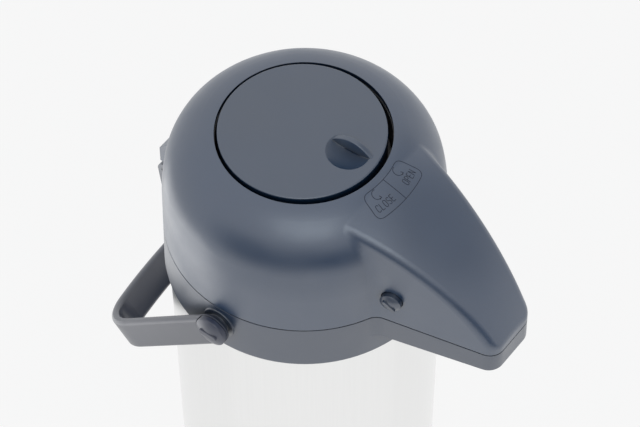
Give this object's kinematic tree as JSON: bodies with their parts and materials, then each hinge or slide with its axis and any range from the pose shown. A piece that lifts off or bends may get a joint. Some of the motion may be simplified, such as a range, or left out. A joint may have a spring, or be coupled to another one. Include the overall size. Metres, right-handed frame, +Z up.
{
  "type": "airpot",
  "caption": "Insulated pump pot with a steel body, domed hinged lid, press-and-lock plate, downward spout, side release buttons and a swinging strap handle.",
  "frame": {"origin": "centre of the foot ring on the table", "axes": "+Z up along the pot, -Y the way the spout points, +X to the right seen from the spout's side looking along +Y"},
  "size_m": [0.1824, 0.2377, 0.3729],
  "materials": {
    "head_plastic": "fine grained, slate grey",
    "shoulder_plastic": "fine grained, slate grey",
    "plate_plastic": "smooth satin, blue grey",
    "handle_plastic": "satin, slate grey",
    "cap_plastic": "satin, slate grey",
    "button_plastic": "satin, slate grey",
    "base_plastic": "satin, slate grey",
    "inner_plastic": "moulded, dark grey",
    "deck_plastic": "moulded, light grey",
    "casing_steel": "pale satin with upright grain",
    "liner_steel": "drawn, satin",
    "pin_steel": "turned",
    "spring_steel": "drawn wire",
    "foot_rubber": "matt, black",
    "seal_silicone": "translucent white silicone",
    "bellows_rubber": "soft, off-white",
    "tube_plastic": "natural white tube"
  },
  "bodies": {
    "pot": {"foot_ring": "foot_rubber", "base": "base_plastic", "liner_pad": "foot_rubber", "casing": "casing_steel", "liner": "liner_steel", "liner_jacket": "liner_steel", "neck_collar": "inner_plastic", "neck_gasket": "seal_silicone", "tube_holder": "deck_plastic", "dip_tube": "liner_steel", "spout_pipe": "tube_plastic", "pipe_seal": "seal_silicone", "nozzle": "inner_plastic", "shoulder": "shoulder_plastic", "hinge_pin": "pin_steel", "pivot_pins": "pin_steel", "pivot_caps": "cap_plastic"},
    "lid": {"lid_cover": "head_plastic", "pump_well": "inner_plastic", "lid_deck": "deck_plastic", "air_seal": "seal_silicone", "lid_screws": "pin_steel", "bellows": "bellows_rubber", "bellows_spring": "spring_steel"},
    "push": {"push_carrier": "inner_plastic", "air_valve": "seal_silicone"},
    "plate": {"push_plate": "plate_plastic", "plate_screw": "pin_steel"},
    "left_button": {"button_left": "button_plastic"},
    "right_button": {"button_right": "button_plastic"},
    "carrying_handle": {"handle": "handle_plastic"}
  },
  "joints": [
    {"name": "lid_hinge", "type": "hinge", "parent": "pot", "child": "lid", "pos_m": [0, 0.0834, 0.289], "axis": [-1, 0, 0], "range_deg": [0, 82]},
    {"name": "push_slide", "type": "slide", "parent": "lid", "child": "push", "axis": [0, 0, -1], "range_m": [0, 0.02], "stiffness_N_per_m": 500, "springref_m": -0.012, "deforming": ["bellows", "bellows_spring"]},
    {"name": "plate_turn", "type": "hinge", "parent": "push", "child": "plate", "pos_m": [0, 0.001, 0.363], "axis": [0, 0, 1], "range_deg": [-18, 0]},
    {"name": "left_button_slide", "type": "slide", "parent": "lid", "child": "left_button", "axis": [0.9766, 0.2149, 0], "range_m": [0, 0.003], "stiffness_N_per_m": 400, "springref_m": -0.002},
    {"name": "right_button_slide", "type": "slide", "parent": "lid", "child": "right_button", "axis": [-0.9766, 0.2149, 0], "range_m": [0, 0.003], "stiffness_N_per_m": 400, "springref_m": -0.002},
    {"name": "handle_swing", "type": "hinge", "parent": "pot", "child": "carrying_handle", "pos_m": [0, 0, 0.2765], "axis": [1, 0, 0], "range_deg": [0, 155]}
  ]
}
